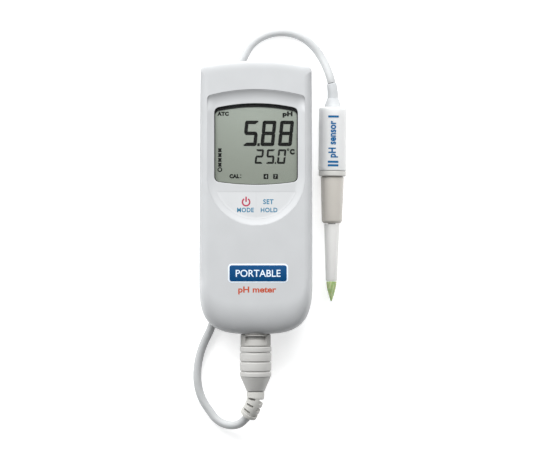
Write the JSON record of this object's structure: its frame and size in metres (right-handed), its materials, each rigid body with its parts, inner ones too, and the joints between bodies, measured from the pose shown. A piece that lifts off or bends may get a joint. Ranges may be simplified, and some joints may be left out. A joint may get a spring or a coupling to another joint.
{
  "type": "portable ph meter",
  "caption": "Handheld pH meter in a two-shell case with a display, two keys and a plugged-in cable probe with a conical glass tip.",
  "frame": {"origin": "the middle of the case's length and width, on the flat of the battery hump that the meter rests on", "axes": "+Z out of the display, +Y from the probe socket towards the top of the case, +X to the right as the display is read"},
  "size_m": [0.0879, 0.2296, 0.03],
  "materials": {
    "case_shell": "fine satin moulding",
    "panel": "smooth satin moulding",
    "key_rubber": "smooth matte elastomer",
    "seal_rubber": "matte",
    "window": "clear polished plastic",
    "display": "reflective liquid crystal glass",
    "black_plastic": "moulded",
    "board": "solder mask over laminate",
    "ribbon": "flat cable",
    "steel": "plated",
    "nickel": "nickel plated",
    "cell": "printed sleeve",
    "plug_plastic": "satin moulding",
    "boot_rubber": "soft moulding",
    "cable_jacket": "smooth soft jacket",
    "probe_white": "satin moulding",
    "probe_sleeve": "natural fluoropolymer",
    "probe_stem": "natural fluoropolymer",
    "tip_glass": "green tinted membrane glass",
    "tube_glass": "clear",
    "silver": "chlorided silver"
  },
  "bodies": {
    "meter": {"front_housing": "case_shell", "rear_cover": "case_shell", "case_gasket": "seal_rubber", "cover_screw_1": "steel", "cover_screw_2": "steel", "cover_screw_3": "steel", "cover_screw_4": "steel", "front_panel": "panel", "window_gasket": "seal_rubber", "display_window": "window", "lcd_glass": "display", "lcd_frame": "black_plastic", "zebra_strip_1": "seal_rubber", "zebra_strip_2": "seal_rubber", "main_board": "board", "processor_chip": "black_plastic", "board_screw_1": "steel", "board_screw_2": "steel", "socket_ribbon": "ribbon", "mode_switch": "black_plastic", "hold_switch": "black_plastic", "battery_holder": "black_plastic", "battery_cell_1": "cell", "battery_cell_2": "cell", "battery_cell_3": "cell", "battery_spring_1": "steel", "battery_spring_2": "steel", "battery_spring_3": "steel", "battery_plate_1": "nickel", "battery_plate_2": "nickel", "battery_plate_3": "nickel", "din_socket": "nickel", "socket_insert": "black_plastic", "socket_nut": "nickel", "socket_seal": "seal_rubber"},
    "mode_key": {"mode_button": "key_rubber", "mode_plunger": "steel"},
    "hold_key": {"hold_button": "key_rubber", "hold_plunger": "steel"},
    "probe_lead": {"plug_collar": "plug_plastic", "plug_shell": "nickel", "plug_insert": "black_plastic", "plug_pin_1": "nickel", "plug_pin_2": "nickel", "plug_pin_3": "nickel", "plug_pin_4": "nickel", "plug_pin_5": "nickel", "plug_grip": "plug_plastic", "plug_boot": "boot_rubber", "probe_cable": "cable_jacket", "strain_relief": "boot_rubber", "probe_handle": "probe_white", "probe_sleeve": "probe_sleeve", "probe_stem": "probe_stem", "glass_tip": "tip_glass", "electrode_tube": "tube_glass", "silver_wire": "silver", "temperature_sensor": "steel", "preamp_board": "board"}
  },
  "joints": [
    {"name": "mode_press", "type": "slide", "parent": "meter", "child": "mode_key", "axis": [0, 0, -1], "range_m": [0, 0.0007], "stiffness_N_per_m": 400, "springref_m": -0.0004},
    {"name": "hold_press", "type": "slide", "parent": "meter", "child": "hold_key", "axis": [0, 0, -1], "range_m": [0, 0.0007], "stiffness_N_per_m": 400, "springref_m": -0.0004},
    {"name": "probe_unplug", "type": "slide", "parent": "meter", "child": "probe_lead", "axis": [0, -1, 0], "range_m": [0, 0.012]}
  ]
}
